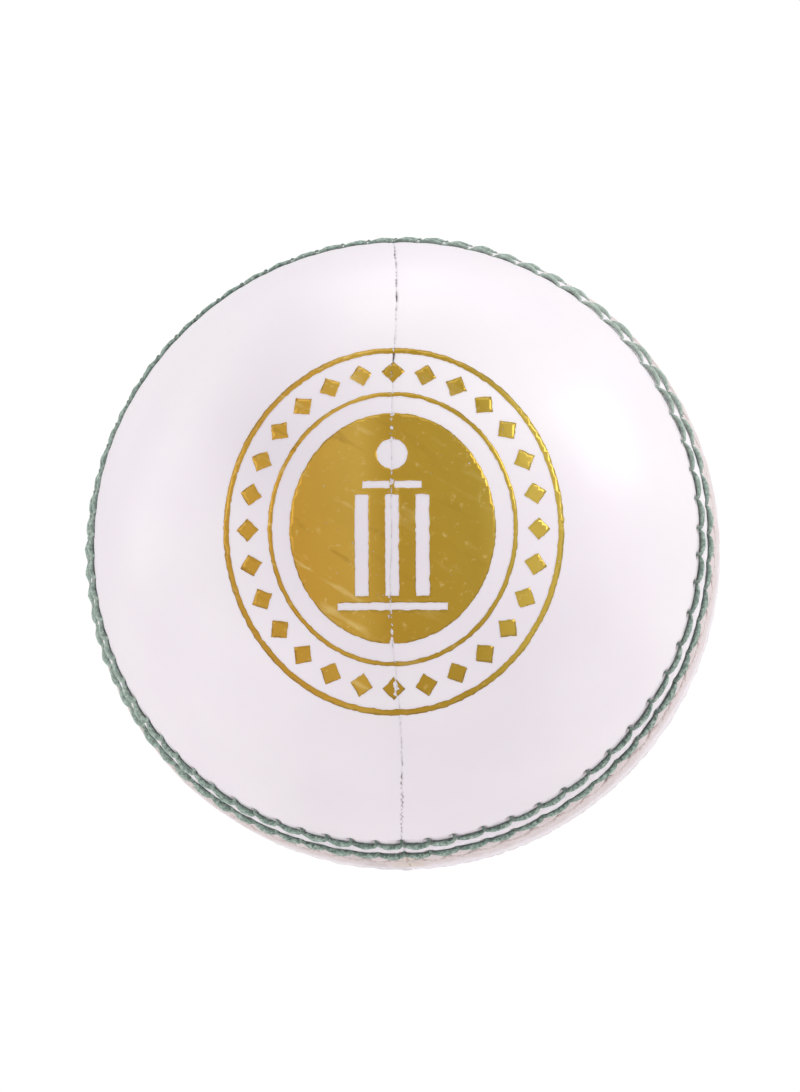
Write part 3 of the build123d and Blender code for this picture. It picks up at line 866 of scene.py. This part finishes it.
def foil_material():
    sh = Shader("gold_foil_worn")
    place = sh.node("SeparateXYZ")
    sh.tree.links.new(sh.coord, place.inputs[0])
    across = sh.position(place.outputs[0], per_metre=26.0)
    # gold across the badge with a painted sheen: lighter from the left to the middle, duller right of
    # the middle, lighter again at the right edge
    gold = sh.ramp(across, [(0.05, srgb(206, 160, 58)), (0.30, srgb(214, 166, 60)),
                            (0.47, srgb(218, 178, 74)), (0.55, srgb(196, 156, 46)),
                            (0.80, srgb(192, 160, 52)), (0.95, srgb(220, 192, 84))])
    height = sh.position(place.outputs[2], per_metre=24.0)
    shade = sh.ramp(height, [(0.05, (0.84, 0.80, 0.66)), (0.35, (0.90, 0.88, 0.80)),
                             (0.62, (1, 1, 1)), (0.95, (0.92, 0.92, 0.9))])
    cloud = sh.noise(scale=170.0, detail=4.0, rough=0.6)
    base = sh.mix(gold, shade, fac=1.0, kind="MULTIPLY")
    base = sh.tint(base, srgb(150, 112, 26), cloud, strength=0.22)
    # creases: long thin lines that run down to the right, with painted highlights and painted shade
    # along them
    mapping = sh.node("Mapping")
    mapping.vector_type = "TEXTURE"
    mapping.inputs["Rotation"].default_value = (0.0, math.radians(30), 0.0)
    mapping.inputs["Scale"].default_value = (1 / 110.0, 1 / 110.0, 1 / 560.0)
    sh.tree.links.new(sh.coord, mapping.inputs["Vector"])
    wrinkle = sh.noise(scale=1.0, coord=mapping.outputs[0])
    # most of them left of the joint
    keep = sh.ramp(across, [(0.30, (1, 1, 1)), (0.55, (0.25, 0.25, 0.25))])
    crease_highlight = sh.excess(wrinkle, 0.61, gain=6.0)
    dark = sh.excess(0.40, wrinkle, gain=6.0)
    # painted highlight and painted shade along the creases
    base = sh.tint(base, srgb(246, 222, 150), crease_highlight, strength=keep)
    base = sh.tint(base, srgb(150, 108, 26), dark, strength=keep)
    # small pale specks over the foil
    pale_specks = sh.noise(scale=1200.0, rough=0.7)
    base = sh.mix(base, srgb(240, 214, 140), fac=sh.excess(pale_specks, 0.60, gain=3.0))
    sh.set(Base_Color=base, Metallic=0.85, Roughness=0.34, Coat_Weight=0.2, Coat_Roughness=0.3)
    cells = sh.node("TexVoronoi")
    cells.feature = "DISTANCE_TO_EDGE"
    cells.inputs["Scale"].default_value = 210.0
    sh.tree.links.new(sh.coord, cells.inputs["Vector"])
    relief = sh.mix(cells.outputs["Distance"], cloud, fac=0.4)
    sh.bump(sh.mix(relief, wrinkle, fac=0.5), strength=0.5, distance=0.0003)
    # specks of foil are lost, more of them along the joint
    speck = sh.noise(scale=1500.0, rough=0.65)
    wear = sh.math("ADD", speck, sh.math("MULTIPLY", sh.attribute("worn"), 0.30))
    lost = sh.math("GREATER_THAN", wear, 0.715)
    clear = sh.node("BsdfTransparent").outputs[0]
    sh.surface(mix_shaders(sh.tree, lost, sh.bsdf.outputs[0], clear))
    return sh.material


def plain_material(name, stops, scale, rough):
    sh = Shader(name)
    grain = sh.noise(scale=scale, detail=5.0, rough=0.65)
    sh.set(Base_Color=sh.ramp(grain, stops), Roughness=rough)
    sh.bump(grain, strength=0.5, distance=0.0003)
    return sh.material


def floor_material():
    """Glows evenly for light rays, is pale for the camera, and is clear from below."""
    sh = Shader("pale_floor", object_coords=False)
    pale = sh.ramp(sh.noise(scale=3.0, detail=2.0), [(0.0, (0.86,) * 3), (1.0, (0.89,) * 3)])
    sh.set(Base_Color=pale, Roughness=0.8, Specular_IOR_Level=0.1)
    geometry = sh.node("NewGeometry")
    ray = sh.node("LightPath")
    glow = sh.node("Emission")
    glow.inputs["Strength"].default_value = 0.90
    glow.inputs["Color"].default_value = (1.0, 0.975, 0.985, 1)
    seen = mix_shaders(sh.tree, ray.outputs["Is Camera Ray"], glow.outputs[0],
                       sh.bsdf.outputs[0])
    clear = sh.node("BsdfTransparent").outputs[0]
    sh.surface(mix_shaders(sh.tree, geometry.outputs["Backfacing"], seen, clear))
    return sh.material


leather = leather_material()
green = thread_material("waxed_green_thread", dark=srgb(50, 70, 62), mid=srgb(136, 164, 151),
                        light=srgb(206, 222, 210))
natural = thread_material("waxed_undyed_thread", dark=srgb(200, 183, 178),
                          mid=srgb(228, 214, 211), light=srgb(243, 235, 232))
foil = foil_material()
cork = plain_material("raw_cork", [(0.35, srgb(96, 62, 34)), (0.5, srgb(168, 124, 78)),
                                   (0.7, srgb(196, 156, 106))], scale=700.0, rough=0.85)
yarn = plain_material("wool_yarn", [(0.3, srgb(196, 178, 142)), (0.7, srgb(226, 212, 184))],
                      scale=1600.0, rough=0.9)
lining = plain_material("undyed_lining", [(0.3, srgb(168, 134, 96)), (0.7, srgb(196, 164, 126))],
                        scale=500.0, rough=0.75)
hidden = plain_material("undyed_hidden_thread",
                        [(0.3, srgb(206, 190, 176)), (0.7, srgb(236, 226, 214))],
                        scale=2000.0, rough=0.8)


# ---------------------------------------------------------------- pieces
def place_piece(ob, material, node):
    ob.data.materials.append(material)
    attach(ob, "root")
    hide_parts(node)


for part, front, right in (("front_right", True, True), ("front_left", True, False),
                           ("back_upper", False, True), ("back_lower", False, False)):
    quarter = quarter_object("leather_" + part, front, right)
    place_piece(quarter, leather, "cover_" + part)

for row, (thread, material, slot) in enumerate(zip(
        THREADS, (green, green, natural), ("green_thread", "green_thread", "natural_thread"))):
    for which, suffix in enumerate("ab"):
        stitches = thread_object(f"stitches_{thread.split('_')[0]}_{suffix}", row, which)
        place_piece(stitches, material, f"{thread}_{suffix}")

place_piece(badge_object(), foil, "foil_badge")

# the CAD pieces that stay
for name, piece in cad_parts.items():
    if piece.hide_render:
        continue
    material = (cork if name.startswith("cork") else yarn if name.startswith("yarn") else
                lining if name.startswith("lining") else hidden)
    piece.data.materials.clear()
    piece.data.materials.append(material)


# ---------------------------------------------------------------- floor, light, camera
def add_floor(half_width):
    z = -RIDGE / MM_PER_M
    mesh = bpy.data.meshes.new("floor")
    corners = [(x * half_width, y * half_width, z) for x, y in ((-1, -1), (1, -1), (1, 1), (-1, 1))]
    mesh.from_pydata(corners, [], [(0, 1, 2, 3)])
    floor = bpy.data.objects.new("floor", mesh)
    bpy.context.scene.collection.objects.link(floor)
    mesh.materials.append(floor_material())


def add_world():
    """White to the camera, slightly dimmer as a light."""
    world = bpy.data.worlds.new("studio")
    bpy.context.scene.world = world
    world.use_nodes = True
    tree = world.node_tree
    tree.nodes.clear()

    def background(color, strength):
        node = tree.nodes.new("ShaderNodeBackground")
        node.inputs[0].default_value = color
        node.inputs[1].default_value = strength
        return node.outputs[0]

    out = tree.nodes.new("ShaderNodeOutputWorld")
    seen = background(color=(1, 1, 1, 1), strength=1.02)
    lit = background(color=(1.0, 0.99, 1.0, 1), strength=0.79)
    ray = tree.nodes.new("ShaderNodeLightPath")
    tree.links.new(mix_shaders(tree, ray.outputs["Is Camera Ray"], lit, seen), out.inputs[0])


def add_area_light(name, location, size, energy):
    """Square light aimed at the ball centre."""
    light = bpy.data.lights.new(name, "AREA")
    light.energy = energy
    light.size = size
    light.color = (1, 1, 1)
    ob = bpy.data.objects.new(name, light)
    ob.location = location
    ob.rotation_mode = "QUATERNION"
    ob.rotation_quaternion = (-Vector(location)).to_track_quat("-Z", "Y")
    bpy.context.scene.collection.objects.link(ob)


def add_camera(azimuth, elevation, distance):
    """Camera in front of the ball; azimuth is to the right, angles in degrees."""
    azimuth, elevation = math.radians(azimuth), math.radians(elevation)
    toward = Vector((math.sin(azimuth) * math.cos(elevation),
                     -math.cos(azimuth) * math.cos(elevation), math.sin(elevation)))
    lens = bpy.data.cameras.new("cam")
    ob = bpy.data.objects.new("cam", lens)
    bpy.context.scene.collection.objects.link(ob)
    ob.rotation_mode = "QUATERNION"
    ob.rotation_quaternion = (-toward).to_track_quat("-Z", "Y")
    ob.location = toward * distance
    lens.sensor_width = 36.0
    lens.sensor_fit = "AUTO"
    lens.lens = 185.1
    lens.shift_x = -0.0032967033
    lens.shift_y = 0.0070512821
    lens.clip_start = 0.01
    lens.clip_end = 50
    bpy.context.scene.camera = ob


add_floor(half_width=6.0)
add_world()
add_area_light("key", location=(0.87, 0.0, 0.50), size=0.5, energy=2.72)
add_area_light("fill", location=(-1.0, -0.05, 0.10), size=0.9, energy=2.15)
add_area_light("top", location=(0.0, 0.10, 1.0), size=0.8, energy=1.65)
add_camera(azimuth=6.15, elevation=-9.34, distance=0.6435)

view = bpy.context.scene.view_settings
view.view_transform = "Standard"
view.look = "None"
view.exposure = 0.0
view.gamma = 1.0
